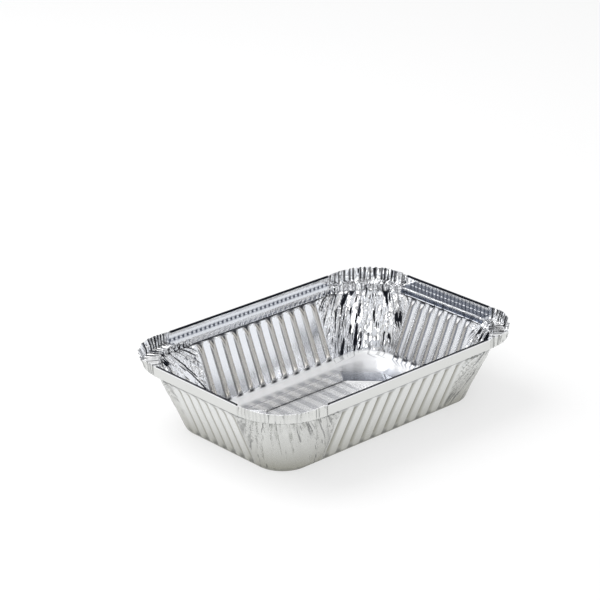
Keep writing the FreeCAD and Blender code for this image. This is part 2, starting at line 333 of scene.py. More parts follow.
class Blank:
    """Columns of the flat blank, clockwise from above, each on a long side, a corner or a short side."""

    def __init__(self, shape, flutes):
        self.shape, self.flutes = shape, flutes
        self.long_edge = (flutes.long_count - 1) / 2 * flutes.long_pitch + flutes.mouth / 2
        self.short_edge = (flutes.short_count - 1) / 2 * flutes.short_pitch + flutes.mouth / 2
        xs = side_places(flutes.long_count, flutes.long_pitch, self.long_edge, shape.hem_long, PLAIN_COLUMNS)
        ys = side_places(flutes.short_count, flutes.short_pitch, self.short_edge, shape.hem_short,
                         SHORT_PLAIN_COLUMNS)
        turn = np.arange(1, CORNER_COLUMNS) / CORNER_COLUMNS
        runs = (("long", xs, 0, 1), ("corner", turn, 1, 1), ("short", -ys, 1, 0), ("corner", turn[::-1], 1, -1),
                ("long", -xs, 0, -1), ("corner", turn, -1, -1), ("short", ys, -1, 0), ("corner", turn[::-1], -1, 1))
        kinds, places, evens, signs, steps = [], [], [], [], []
        for kind, values, x_sign, y_sign in runs:
            along = np.where(values >= 0, 1, -1)
            x_signs = along if kind == "long" else np.full(len(values), x_sign)
            y_signs = along if kind == "short" else np.full(len(values), y_sign)
            even = values if kind == "corner" else np.linspace(values[0], values[-1], len(values))
            kinds += [kind] * len(values)
            places.append(np.abs(values))
            evens.append(np.abs(even))
            signs.append(np.stack([x_signs, y_signs], -1))
            steps.append(np.arange(len(values)))
        self.kind = np.array(kinds)
        self.place = np.concatenate(places)
        self.even = np.concatenate(evens)
        self.sign = np.concatenate(signs).astype(float)
        self.step = np.concatenate(steps)
        self.count = len(self.place)
        self.short = self.kind == "short"
        self.side = (self.kind != "corner").astype(float)

    def walked(self, row):
        """Distance walked along each column's quarter at one row."""
        half_x, half_y = halves(row.inset)
        whole = quarter_walk(half_x, half_y, row.radius)
        place = self.place if row.kind in ("foot", "wall") else self.even
        past = np.maximum(place - self.long_edge, 0.0)
        shrink = (self.shape.hem_long - row.long_end) / (self.shape.hem_long - self.long_edge)
        start = walk_to(np.array(row.long_end), half_x, row.radius)
        end = whole - walk_to(np.array(self.shape.hem_short), half_y, row.radius)
        walked = start + (end - start) * place
        walked = np.where(self.kind == "long", walk_to(place - past * shrink, half_x, row.radius), walked)
        return np.where(self.kind == "short", whole - walk_to(place, half_y, row.radius), walked)

    def parts(self, row):
        """How far round each column is: from 0 in the middle of the first long side, one for each corner
        and for each side, and rising all the way from the first column."""
        run, rise = RIM_LENGTH / 2 - row.inset - row.radius, RIM_WIDTH / 2 - row.inset - row.radius
        bend = row.radius * math.pi / 2
        walked = self.walked(row)
        quarter = (np.minimum(walked, run) / run + np.maximum(walked - run - bend, 0.0) / rise) / 2
        quarter += np.clip((walked - run) / bend, 0.0, 1.0)
        x_sign, y_sign = self.sign.T
        right = np.where(y_sign > 0, quarter, 4 - quarter)
        left = np.where(y_sign < 0, 4 + quarter, 8 - quarter)
        around = np.where(x_sign > 0, right, left)
        first = around[0] - 8
        return (around - first) % 8 + first

    def outline(self, row):
        """Points and outward directions of all columns at one row."""
        half_x, half_y = halves(row.inset)
        points, out = spots(half_x, half_y, row.radius, self.walked(row))
        return points * self.sign, out * self.sign

    def from_corner(self, row):
        """Distance of each column from the middle of its corner at one row, towards the short side."""
        middle = RIM_LENGTH / 2 - row.inset - row.radius + row.radius * math.pi / 4
        return self.walked(row) - middle


class PressedBlank(Blank):
    """The blank in the die: where each of its rows and columns goes."""

    def __init__(self, shape, flutes):
        super().__init__(shape, flutes)
        self.ledge_level = TRAY_HEIGHT - shape.rim_height
        self.wall_top = self.ledge_level - shape.neck
        self.foot_inset = shape.ledge + shape.lean
        self.hem_radius = shape.hem / 2
        self.rows = self.foot_rows() + self.wall_rows() + self.upper_rows()
        top = self.wall_row(self.wall_top)
        half_x, half_y = halves(top.inset)
        middle = half_x - top.radius * (1 - math.pi / 4)
        last_flute = quarter_walk(half_x, half_y, top.radius) - self.short_edge
        self.wall_place = self.from_corner(top)
        self.rim_place = self.from_corner(Row("rim", 0, 0, 0.0, shape.rim_corner, shape.hem_long))
        self.gathered = within(self.wall_place, self.long_edge - middle, last_flute - middle, GATHER_FADE)
        self.pleated = within(self.rim_place, *PLEATED)
        self.corners = [self.drawn_corner(number, signs) for number, signs in enumerate(CORNERS)]
        self.tones = []

    def wall_row(self, z):
        share = z / self.wall_top
        shape = self.shape
        radius = shape.base_corner + (shape.wall_corner - shape.base_corner) * share
        long_end = LONG_PLAIN_AT_FOOT + (shape.hem_long - LONG_PLAIN_AT_FOOT) * share
        return Row("wall", share, z, self.foot_inset - shape.lean * share, radius, long_end)

    def foot_rows(self):
        """The bend between the floor and the wall, as a curve that starts flat and ends on the wall."""
        shape = self.shape
        end = self.wall_row(shape.foot_rise)
        rows = []
        for share in FOOT_ROWS:
            flat, bend, up = (1 - share) ** 2, 2 * share * (1 - share), share ** 2
            inset = flat * (self.foot_inset + shape.foot_run) + bend * self.foot_inset + up * end.inset
            rows.append(Row("foot", 0.0, up * shape.foot_rise, inset, end.radius - (inset - end.inset), end.long_end))
        return rows

    def wall_rows(self):
        return [self.wall_row(z) for z in WALL_ROWS if z < self.wall_top]

    def upper_rows(self):
        shape = self.shape
        rows = []
        for share in NECK_ROWS:
            z = self.wall_top + shape.neck * share
            rows.append(Row("neck", share, z, shape.ledge, shape.wall_corner, shape.hem_long))
        for share in LEDGE_ROWS:
            radius = shape.wall_corner + (shape.rim_corner - shape.wall_corner) * share
            rows.append(Row("ledge", share, self.ledge_level, shape.ledge * (1 - share), radius, shape.hem_long))
        for share in RIM_ROWS:
            z = self.ledge_level + (shape.rim_height - self.hem_radius) * share
            radius = shape.rim_corner - shape.rim_flare * share ** 2
            rows.append(Row("rim", share, z, 0.0, radius, shape.hem_long))
        return rows

    def drawn_corner(self, number, signs):
        """Fold lines, pleat lines, crumple cells and painted crease shade of one corner, drawn once."""
        draw = random.Random(SEED + number)
        folds = self.zigzag(draw, *FOLD_REACH, FOLD_STEP)
        pleats = self.zigzag(draw, *PLEAT_REACH, PLEAT_STEP)
        cells = [(draw.uniform(*CRUMPLE_REACH), draw.uniform(0, self.wall_top)) for _ in range(CRUMPLE_CELLS)]
        dark_folds = self.creases(draw, len(folds.places), DARK_FOLDS)
        dark_pleats = self.creases(draw, len(pleats.places), DARK_PLEATS)
        mine = (self.sign == signs).all(1)
        return Corner(mine, number, signs, *CORNERS[signs], folds, pleats, np.array(cells), dark_folds, dark_pleats)

    @staticmethod
    def zigzag(draw, start, end, step):
        """Lines at uneven steps: place, swing, lean, and the height share at which each begins."""
        lines, place, side = [], start, 1
        while place < end:
            lines.append((place, side * draw.uniform(0.35, 1.0), draw.uniform(-1, 1), draw.uniform(-0.35, 0.45)))
            place += draw.uniform(*step)
            side = -side
        return Lines(*np.array(lines).T)

    @staticmethod
    def creases(draw, count, share):
        """How dark the painted shade along each of the lines is, and the middle and reach of the height shares at which
        it is. No two side by side are dark."""
        lines, dark = [], 0.0
        for _ in range(count):
            dark = draw.uniform(0.7, 1.0) if dark == 0.0 and draw.random() < share else 0.0
            lines.append((dark, draw.uniform(0.1, 0.9), draw.uniform(0.15, 0.4)))
        return np.array(lines).T

    def of_corners(self, name):
        """What the corner of each column holds under this name."""
        values = np.zeros(self.count)
        for corner in self.corners:
            values[corner.mine] = getattr(corner, name)
        return values

    def fold_places(self, corner, height):
        """Where a corner's fold lines are at a height share."""
        fanned = corner.folds.places * (1 + corner.fan * (1 - height))
        return in_order(fanned + corner.folds.leans * FOLD_LEAN * (height - 0.8) * self.wall_top)

    def wall_creases(self, row):
        """How dark the painted shade in the creases between the wall's folds is at each column of a row."""
        shade = np.zeros(self.count)
        for corner in self.corners:
            dark, middle, reach = corner.dark_folds
            held = dark * smooth(1.4 - np.abs(row.share - middle) / reach)
            shade[corner.mine] = np.interp(self.wall_place[corner.mine], self.fold_places(corner, row.share), held) ** 2
        return shade * self.gathered

    def rim_creases(self):
        """How dark the painted shade in the creases between the rim's pleats is at each column."""
        shade = np.zeros(self.count)
        for corner in self.corners:
            held = np.interp(self.rim_place[corner.mine], corner.pleats.places, corner.dark_pleats[0]) * corner.pleat
            shade[corner.mine] = np.minimum(held ** 2 * PLEAT_CREASE, 1.0)
        return shade * within(self.rim_place, *CREASED)

    def groove(self, row):
        """Depth of the flutes at each column of a wall row, and each column's share of its flute's depth."""
        flutes = self.flutes
        foot = np.clip((row.z - GROOVE_FOOT[0]) / (GROOVE_FOOT[1] - GROOVE_FOOT[0]), 0.0, 1.0)
        head = np.clip((self.wall_top - row.z - GROOVE_HEAD[0]) / (GROOVE_HEAD[1] - GROOVE_HEAD[0]), 0.0, 1.0)
        full = foot * head
        shares = np.zeros(self.count)
        for kind, pitch, count in (("long", flutes.long_pitch, flutes.long_count),
                                   ("short", flutes.short_pitch, flutes.short_count)):
            shift = 0.5 if count % 2 else 0.0
            across = np.abs((self.place / pitch + shift) % 1.0 - 0.5) * pitch
            mouth = flutes.mouth / 2 * (1 + GROOVE_FLARE * (1 - full))
            side = np.sqrt(np.clip(1 - (across / mouth) ** 2, 0.0, 1.0))
            inside = (self.kind == kind) & (self.place < (count - 1) * pitch / 2 + mouth)
            shares = np.where(inside, side, shares)
        return flutes.depth * full * shares, shares

    def fold(self, row):
        """Outward swing of the wall's folds and crumples at each column of a row."""
        swing = np.zeros(self.count)
        if row.kind == "foot":
            return swing
        height = row.share if row.kind == "wall" else 1.0 - 0.25 * row.share
        for corner in self.corners:
            place = self.wall_place[corner.mine]
            grown = smooth((height - corner.folds.starts) / 0.4)
            folds = np.interp(place, self.fold_places(corner, height), corner.folds.swings * grown) * FOLD_DEPTH
            along, up = corner.cells.T
            gap = np.hypot((place[:, None] - along) / CRUMPLE_SIZE[0], (row.z - up) / CRUMPLE_SIZE[1])
            crumple = (np.minimum(gap.min(1), 1.2) - 0.5) * CRUMPLE_DEPTH
            swing[corner.mine] = (folds + crumple) * corner.fold
        return swing * self.gathered * (0.2 + 0.8 * smooth(height * 1.15))

    def pleat(self, row):
        """Outward swing of the pleats in the corners' ledge and rim."""
        up = row.share if row.kind == "rim" else 0.0
        swing = np.zeros(self.count)
        for corner in self.corners:
            place = self.rim_place[corner.mine]
            places = in_order(corner.pleats.places + corner.pleats.leans * PLEAT_LEAN * up)
            lump = np.sin(place * 0.41 + corner.signs[0]) * np.sin(place * 0.23 + corner.signs[1] * 2)
            pleats = np.interp(place, places, corner.pleats.swings) * PLEAT_DEPTH
            swing[corner.mine] = (pleats + lump * LUMP_DEPTH * up) * corner.pleat
        return swing * self.pleated

    def dents(self, row):
        """Slow unevenness of the sheet, which grows up the wall."""
        walked = self.walked(row) + 37 * self.parts(row)
        waves = (np.sin(walked * 0.13 + row.z * 0.11) + np.sin(walked * 0.31 - row.z * 0.17 + 1.7)
                 + np.sin(walked * 0.071 + row.z * 0.29 + 4.1))
        return waves / 3 * DENT_DEPTH * smooth(row.share * 4)

    def ticks(self, lag):
        """One in every few columns of the hemmed sides stands out as a pressed tick, shifted by the lag."""
        end = np.where(self.kind == "long", self.shape.hem_long, self.shape.hem_short)
        ticked = (self.side > 0) & ((self.step - lag) % TICK_COLUMNS == 0)
        return np.where(ticked & (end - self.even > 1.5), TICK_DEPTH, 0.0)

    def press_wall(self, row, points):
        """Grooves, folds and dents of the wall, and of the bend at its foot. Shade is painted at both ends of the
        grooves and in the corners' creases, and reflection is painted in the grooves, low on the lands and, on the
        short sides, along the grooves' edges and heads."""
        short = self.short
        groove, share = self.groove(row)
        # Painted shade at the feet and heads of the grooves and in the corners' creases
        foot_end = np.clip((4.8 - row.z) / 2.4, 0.0, 1.0) * (row.z > 1.2)
        head_end = np.clip(row.z - self.wall_top + 2.0, 0.0, 1.0)
        creases = self.wall_creases(row) * (0.3 if row.kind == "foot" else 1.0)
        shade = np.maximum(share * max(foot_end, head_end), creases)
        # Painted reflection on the short sides: dark lines along the grooves' edges and grey heads
        edges = np.interp(share, (0.45, 0.62, 0.8, 0.95), (0.0, 1.0, 1.0, 0.0))
        head = np.clip((row.z - self.wall_top + 6.5) / 4.0, 0.0, 1.0) * np.minimum(share * 3.0, 1.0)
        bars = np.maximum(edges * 0.75, head * 0.45) * short
        if row.kind == "foot":
            return Pressed(-self.fold(row), groove, 0.0, shade, 0.0, 0.9, bars)
        # Painted reflection in the grooves, and a bluish painted reflection low on the lands
        warmth = np.where(short, smooth((share - 0.6) / 0.3) * 0.9, np.sqrt(share)) * (1 - shade)
        bars = np.maximum(bars, 0.36 * smooth((24.0 - row.z) / 24.0) * (share < 0.5))
        return Pressed(self.dents(row) - self.fold(row), groove, 0.0, shade, warmth, 0.12 * short, bars)

    def press_neck(self, row, points):
        """Step over the wall, with painted shade along it, and two rows of ticks and painted reflection patches on the
        hemmed sides, over painted navy reflection on the short sides. The patches fade out to -X.
        """
        side = self.side
        inwards = -self.fold(row) * (1 - 0.5 * row.share) - 0.5 * row.share * self.pleat(row)
        # Painted shade along the step's line
        if row.share == 0.0:
            return Pressed(inwards + NECK_STEP, 0.0, 0.0, 0.5 + 0.4 * side, 0.0, 0.0, 0.0)
        # Painted navy reflection on the short sides, and painted reflection patches between the ticks
        bars = np.where(self.short, 0.9 * (row.share < 0.8), 0.1 * side)
        if 0.2 < row.share < 0.7:
            lag = int(row.share > 0.5)
            inwards = inwards + self.ticks(lag)
            patch = ((self.step - lag) % PATCH_COLUMNS < PATCH_COLUMNS / 2) * side * (1.0, 0.7)[lag]
            bars = np.maximum(bars, patch * (0.35 + 0.65 * smooth(points[:, 0] / 140 + 0.5)))
        return Pressed(inwards, 0.0, 0.0, self.rim_creases() * 0.6, 0.0, 0.0, bars)

    def press_ledge(self, row, points):
        """Pleats in the corners, a row of ticks along the outer edge of the sides, and painted navy reflection on the
        short sides and along the outer edge.
        """
        pleat, outer = self.pleat(row), row.share > 0.6
        lift = pleat * 0.9 * row.share + self.ticks(0) * 0.6 * outer
        bars = np.maximum(self.short * 0.85 * (row.share > 0.05), self.side * 0.55 * outer)
        return Pressed(-pleat * 0.8, 0.0, lift, 0.0, 0.0, 0.0, bars)

    def press_rim(self, row, points):
        """Pleats that spread up the corners, whose top stands as high as the hem, with painted shade in their creases,
        and along the sides a painted reflection bar pattern, painted shade ticks and painted shade under the hem.
        """
        pleat, past_hem = self.pleat(row), smooth(self.corner_share() * 6)
        inwards = 0.3 * past_hem - pleat * (0.8 + 0.4 * row.share)
        push = self.of_corners("pushed") * smooth(1 - np.abs(self.rim_place) / PUSH_REACH)
        lift = (self.hem_radius - np.abs(pleat) * 0.8) * row.share * past_hem
        short, side, step = self.short, self.side, self.step % BAR_COLUMNS
        # Painted shade under the hem on top; lower, painted reflection on short sides and painted shade ticks on long
        if row.share == 1.0:
            bars = side
        elif row.share > 0.5:
            bars = short * 0.12
        else:
            bars = np.where(short, (step > 2) * 0.7, (step < 2) * side * RIM_BARS[RIM_ROWS.index(row.share)])
        return Pressed(inwards + push * row.share, 0.0, lift, self.rim_creases(), 0.0, 0.0, bars)

    def pressed_row(self, row):
        """Points of one row, in millimetres, and its tones of painted shade and reflection, mattness and crinkling."""
        points, out = self.outline(row)
        press = {"neck": self.press_neck, "ledge": self.press_ledge, "rim": self.press_rim}
        pressed = press.get(row.kind, self.press_wall)(row, points)
        inwards, groove, lift, shade, warmth, matte, bars = (value + np.zeros(self.count) for value in pressed)
        side = np.where((self.kind == "long")[:, None], (0.0, 1.0), (1.0, 0.0)) * self.sign
        flat = points - out * inwards[:, None] - side * groove[:, None]
        flat = np.clip(flat, (-RIM_LENGTH / 2, -RIM_WIDTH / 2), (RIM_LENGTH / 2, RIM_WIDTH / 2))
        crinkle, *among = self.crinkles(row)
        self.tones.append(np.column_stack([shade, warmth, matte, crinkle, bars, np.zeros(self.count), *among]))
        return np.column_stack([flat, np.clip(row.z + lift, 0.0, TRAY_HEIGHT - CORNER_TOP)])

    def crinkles(self, row):
        """How crinkled each column of a row is, and its place among the folds, which fan out down the wall."""
        level = np.full(self.count, row.z)
        number = self.of_corners("number") * CORNER_GAP
        if row.kind in ("ledge", "rim"):
            return self.pleated, self.rim_place, level, number
        if row.kind == "neck":
            return np.maximum(self.gathered, self.short * 0.5), self.wall_place, level, number
        crinkle = self.gathered * (0.4 if row.kind == "foot" else 1.0)
        return crinkle, self.wall_place / (1 + self.of_corners("fan") * (1 - row.share)), level, number

    def corner_share(self):
        """How far into its corner each column is, from 0 at the hem's end to 1 in the middle."""
        turn = np.minimum(self.place, 1 - self.place) * 2
        return np.where(self.side > 0, 0.0, turn)

    def hem_rows(self):
        """Rows of the hem, rolled inwards from the top of the rim, with painted shade on the roll's top and inner side
        that starts later on the far sides.
        """
        top = self.rows[-1]
        points, out = self.outline(top)
        far = np.where(self.kind == "long", self.sign[:, 1], self.sign[:, 0]) > 0
        none = np.zeros(self.count)
        rows = []
        for step in range(1, HEM_STEPS + 1):
            turn = self.shape.hem_turn * step / HEM_STEPS
            inwards = self.hem_radius * (1 - math.cos(turn))
            rows.append(np.column_stack([points - out * inwards, none + top.z + self.hem_radius * math.sin(turn)]))
            shade = np.interp(math.degrees(turn) - far * HEM_LAG, HEM_TURNS, HEM_SHADES)
            self.tones.append(np.column_stack([shade, none, shade * HEM_MATTE, *[none] * 6]))
        return rows


class FloorRings:
    """Rings of the floor, from just inside the foot to its crown."""

    BEAD = (0.0, 0.6, 1.2, 1.8, 2.5)
    BEAD_SHAPE = (0.0, 0.3, 1.0, 0.3, 0.0)
    BEAD_RISE = 0.3
    PANEL_MARGIN = 6.6
    PANEL_CORNER = 21.0
    STEP = (14.0, 8.0, 18.0)
    CROWN = (9.0, 12.0)
    STEP_LEVEL = 1.0
    CROWN_LEVEL = 1.9
    LONG_STEPS = 34
    SHORT_STEPS = 16
    CORNER_STEPS = 8

    # Rings of each slope: how far along it, the rise of a bead, how dark a painted shade line is, and how matt the
    # foil is
    OUTER_RINGS = ((0.0, 0.0, 0.0, 0.9), (0.1, 0.08, 0.0, 0.6), (0.5, 0.0, 0.0, 0.4), (0.93, 0.0, 0.0, 0.4),
                   (1.0, 0.22, 0.0, 0.2))
    STEP_RINGS = ((0.07, 0.0, 0.0, 0.3), (0.3, 0.0, 0.0, 0.3), (0.7, 0.0, 0.0, 0.3), (0.95, 0.0, 0.0, 0.3))
    CROWN_RINGS = ((0.0, 0.28, 0.9, 0.0), (0.05, 0.0, 0.0, 0.3), (0.35, 0.0, 0.0, 0.3), (0.7, 0.0, 0.0, 0.3),
                   (1.0, 0.0, 0.0, 0.3))

    # The crown's painted shade lines lie within the first distance of the middle along X, and beyond the second along
    # Y, in mm
    LINED = (32.0, 15.0)
    # How dark the floor's striped painted reflection of the wall's flutes is
    REFLECTED_STRIPES = 0.28

    def __init__(self, press):
        self.half_x, self.half_y = halves(press.foot_inset)
        panel = self.half_x - self.PANEL_MARGIN, self.half_y - self.PANEL_MARGIN
        step = panel[0] - self.STEP[0], panel[1] - self.STEP[1]
        crown = step[0] - self.CROWN[0], step[1] - self.CROWN[1]
        self.panel = self.ring(*panel, self.PANEL_CORNER, True)
        self.step = self.ring(*step, self.STEP[2], False)
        self.crown = self.ring(*crown, crown[1] - 0.4, False)
        self.middle = self.ring(crown[0] - crown[1], 1.0, 0.9, False)

    def spread(self, length, steps):
        """Places along a run, close together beside both ends for the beads there."""
        room = min(self.BEAD[-1], length / 4)
        near = np.array(self.BEAD) / self.BEAD[-1] * room
        inner = np.linspace(room, length - room, steps + 2)[1:-1]
        return np.concatenate([near, inner, length - near[::-1]]) / length

    def ring(self, half_x, half_y, corner, rounded):
        """Points of a rectangle with rounded or cut corners, clockwise from above."""
        turn = self.turns(corner)
        if rounded:
            angle = turn * math.pi / 2
            bend = np.stack([half_x - corner + corner * np.sin(angle), half_y - corner + corner * np.cos(angle)], -1)
        else:
            bend = np.stack([half_x - corner + corner * turn, half_y - corner * turn], -1)
        run, rise = half_x - corner, half_y - corner
        xs = (self.spread(2 * run, self.LONG_STEPS) * 2 - 1) * run
        ys = (self.spread(2 * rise, self.SHORT_STEPS) * 2 - 1) * rise
        long_side = np.stack([xs, np.full(len(xs), half_y)], -1)
        short_side = np.stack([np.full(len(ys), half_x), -ys], -1)
        half = np.concatenate([long_side, bend, short_side, bend[::-1] * (1, -1)])
        return np.concatenate([half, -half])

    def turns(self, corner):
        return self.spread(corner * 1.5, self.CORNER_STEPS)[1:-1]

    def parts(self):
        """How far round each point is, in the same measure as the blank's columns."""
        run = self.half_x - self.PANEL_MARGIN - self.PANEL_CORNER
        rise = self.half_y - self.PANEL_MARGIN - self.PANEL_CORNER
        turn = self.turns(self.PANEL_CORNER)
        along = self.spread(2 * run, self.LONG_STEPS) - 0.5
        down = self.spread(2 * rise, self.SHORT_STEPS) + 1.5
        half = np.concatenate([along, 0.5 + turn, down, 2.5 + turn])
        return np.concatenate([half, half + 4])

    def ridges(self):
        """Pattern of the twin beads that run inwards from each corner of the rings."""
        end = np.array(self.BEAD_SHAPE)
        long_run = np.concatenate([end, np.zeros(self.LONG_STEPS), end[::-1]])
        short_run = np.concatenate([end, np.zeros(self.SHORT_STEPS), end[::-1]])
        bend = np.concatenate([end[1:], np.zeros(self.CORNER_STEPS), end[:0:-1]])
        return np.concatenate([long_run, bend, short_run, bend] * 2)

    def far_facet(self):
        """Where reflection is painted on the floor: 1 on the cut corners at the right end, 2 on the short side between
        them, and 0 elsewhere.
        """
        bend = len(self.turns(self.PANEL_CORNER))
        counts = [steps + 2 * len(self.BEAD) for steps in (self.LONG_STEPS, self.SHORT_STEPS)]
        return np.repeat((0.0, 1.0, 2.0, 1.0, 0.0), (counts[0], bend, counts[1], bend, sum(counts) + 2 * bend))

    def rows(self):
        """Rings from the outside inwards, in millimetres, and their tones: painted shade lines, painted navy reflection
        at the right end and striped painted reflection.
        """
        slopes = ((self.panel, self.step, 0.0, self.STEP_LEVEL, self.OUTER_RINGS),
                  (self.step, self.crown, self.STEP_LEVEL, self.CROWN_LEVEL, self.STEP_RINGS),
                  (self.crown, self.middle, self.CROWN_LEVEL, self.CROWN_LEVEL, self.CROWN_RINGS))
        facet = self.far_facet()
        none = np.zeros(len(facet))
        rows, tones = [], []
        for first, second, low, high, rings in slopes:
            ridges = self.ridges() * self.BEAD_RISE if low == self.STEP_LEVEL else none
            for share, bead, line, matte in rings:
                flat = first + (second - first) * share
                rows.append(np.column_stack([flat, low + (high - low) * share + bead + ridges]))
                # Painted shade line along the crown's long edges
                lined = (np.abs(flat[:, 0]) < self.LINED[0]) & (np.abs(flat[:, 1]) > self.LINED[1])
                # Painted navy reflection on the slopes' facets at the right end
                if low == self.STEP_LEVEL:
                    bars = (facet > 0) * (0.62 + 0.26 * share)
                elif low < self.STEP_LEVEL:
                    bars = np.where(facet > 1, 0.75 * smooth(share * 1.4), facet * 0.5 * share ** 3)
                else:
                    bars = none
                # Striped painted reflection of the wall's flutes, away from the facets
                stripes = self.REFLECTED_STRIPES * (matte < 0.5) * (facet == 0)
                tones.append(np.column_stack([line * lined, none, none + matte, none, bars, stripes, none, none, none]))
        return rows, tones


def fresh_selection():
    """Leaves edit mode and deselects everything."""
    if bpy.context.object and bpy.context.object.mode != "OBJECT":
        bpy.ops.object.mode_set(mode="OBJECT")
    bpy.ops.object.select_all(action="DESELECT")


def select_only(sheet):
    fresh_selection()
    sheet.select_set(True)
    bpy.context.view_layer.objects.active = sheet


def pressed_grid(name, rows, tones):
    """A flat grid blank, pressed so that each of its rows takes the places given, and closed into a loop."""
    columns = len(rows[0])
    fresh_selection()
    bpy.ops.mesh.primitive_grid_add(x_subdivisions=columns, y_subdivisions=len(rows) - 1, size=1.0)
    sheet = bpy.context.object
    sheet.name = name
    places = np.array([np.vstack([row, row[:1]]) for row in rows]).reshape(-1, 3) * MM
    sheet.data.vertices.foreach_set("co", places.ravel())
    held = np.array([np.vstack([row, row[:1]]) for row in tones]).reshape(-1, len(TONES) + 3)
    for number, tone in enumerate(TONES):
        sheet.data.attributes.new(tone, "FLOAT", "POINT").data.foreach_set("value", held[:, number].copy())
    among = sheet.data.attributes.new(FOLD_PLACE, "FLOAT_VECTOR", "POINT")
    among.data.foreach_set("vector", held[:, len(TONES):].ravel())
    sheet.data.update()
    return sheet


def stitched(shell, outer, inner):
    """Joins two loops of unlike counts with triangles. Each loop is a list of vertices and their parts."""
    (outer_points, outer_parts), (inner_points, inner_parts) = outer, inner
    first, second = 0, 0
    while first < len(outer_points) or second < len(inner_points):
        ahead = outer_parts[first] if first < len(outer_points) else math.inf
        other = inner_parts[second] if second < len(inner_points) else math.inf
        a = outer_points[first % len(outer_points)]
        b = inner_points[second % len(inner_points)]
        if ahead <= other:
            first += 1
            shell.faces.new((a, outer_points[first % len(outer_points)], b))
        else:
            second += 1
            shell.faces.new((a, inner_points[second % len(inner_points)], b))


class TRAY_OT_press_sheet(Operator):
    """Presses the blank into the tray, with its flutes, corner folds, ledge, rim and rolled hems"""

    bl_idname = "tray.press_sheet"
    bl_label = "Press the sheet"

    def execute(self, context):
        tools = context.scene.foil_tray
        press = PressedBlank(tools.shape, tools.flutes)
        rows = [press.pressed_row(row) for row in press.rows] + press.hem_rows()
        wall = pressed_grid("foil_sheet", rows, press.tones)
        self.open_hem(wall, press, len(press.rows) - 1)
        rings = FloorRings(press)
        floor = pressed_grid("foil_floor", *rings.rows())
        for sheet in (wall, floor):
            select_only(sheet)
            bpy.ops.object.mode_set(mode="EDIT")
            bpy.ops.mesh.select_all(action="SELECT")
            bpy.ops.mesh.remove_doubles(threshold=0.004 * MM)
            bpy.ops.object.mode_set(mode="OBJECT")
        self.join_floor(wall, floor, press.parts(press.rows[0]), rings.parts())
        self.thicken(wall, tools.shape.foil * MM, tools.shape.hem)
        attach(wall, BODY)
        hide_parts(NODE)
        return {"FINISHED"}

    @staticmethod
    def open_hem(wall, blank, first_hem_row):
        """Takes away the part of the blank above the rim's corners, where there is no hem."""
        mesh = bmesh.new()
        mesh.from_mesh(wall.data)
        mesh.faces.ensure_lookup_table()
        corner = blank.kind == "corner"
        following = np.roll(corner, -1)
        spare = []
        for face in mesh.faces:
            row, column = divmod(face.index, blank.count)
            if row >= first_hem_row and (corner[column] or following[column]):
                spare.append(face)
        bmesh.ops.delete(mesh, geom=spare, context="FACES")
        mesh.to_mesh(wall.data)
        mesh.free()

    @staticmethod
    def join_floor(wall, floor, wall_parts, ring_parts):
        """Joins the floor's outer ring to the foot of the wall and closes the crown."""
        fresh_selection()
        shell = bmesh.new()
        shell.from_mesh(wall.data)
        shell.verts.ensure_lookup_table()
        foot = shell.verts[:len(wall_parts)]
        kept = len(shell.verts)
        shell.from_mesh(floor.data)
        shell.verts.ensure_lookup_table()
        ring = shell.verts[kept:kept + len(ring_parts)]
        stitched(shell, (foot, wall_parts), (ring, ring_parts))
        shell.faces.new(shell.verts[-len(ring_parts):])
        shell.normal_update()
        bmesh.ops.recalc_face_normals(shell, faces=shell.faces)
        lowest = min(shell.faces, key=lambda face: face.calc_center_median().z)
        if lowest.normal.z > 0:
            bmesh.ops.reverse_faces(shell, faces=shell.faces)
        shell.to_mesh(wall.data)
        shell.free()
        bpy.data.objects.remove(floor)

    @staticmethod
    def thicken(wall, foil, hem):
        """Gives the sheet its thickness inwards, with the bright face as a second material."""
        select_only(wall)
        for name in ("foil_outside", "foil_inside", "foil_hem"):
            wall.data.materials.append(bpy.data.materials.new(name))
        solidify = wall.modifiers.new("foil", "SOLIDIFY")
        solidify.thickness = foil
        solidify.offset = -1
        solidify.use_even_offset = True
        solidify.thickness_clamp = 0.0
        solidify.material_offset = 1
        bpy.ops.object.modifier_apply(modifier=solidify.name)
        top = (TRAY_HEIGHT - hem) * MM
        for face in wall.data.polygons:
            if face.center.z > top:
                face.material_index = 2
        bpy.ops.object.shade_smooth_by_angle(angle=math.radians(28))


def operator(operation, swapped=False):
    """The method of an operator, or of its reflected form."""
    return lambda wire, other: wire.math(operation, other, swapped)


class Wire:
    """A socket that adds maths nodes to its tree when used in an expression."""

    def __init__(self, tree, socket):
        self.tree, self.socket = tree, socket

    def math(self, operation, other=0.0, swapped=False):
        node = self.tree.nodes.new("ShaderNodeMath")
        node.operation = operation
        for number, value in enumerate((other, self) if swapped else (self, other)):
            if isinstance(value, Wire):
                self.tree.links.new(value.socket, node.inputs[number])
            else:
                node.inputs[number].default_value = value
        return Wire(self.tree, node.outputs[0])

    __add__, __radd__ = operator("ADD"), operator("ADD", swapped=True)
    __sub__, __rsub__ = operator("SUBTRACT"), operator("SUBTRACT", swapped=True)
    __mul__, __rmul__ = operator("MULTIPLY"), operator("MULTIPLY", swapped=True)


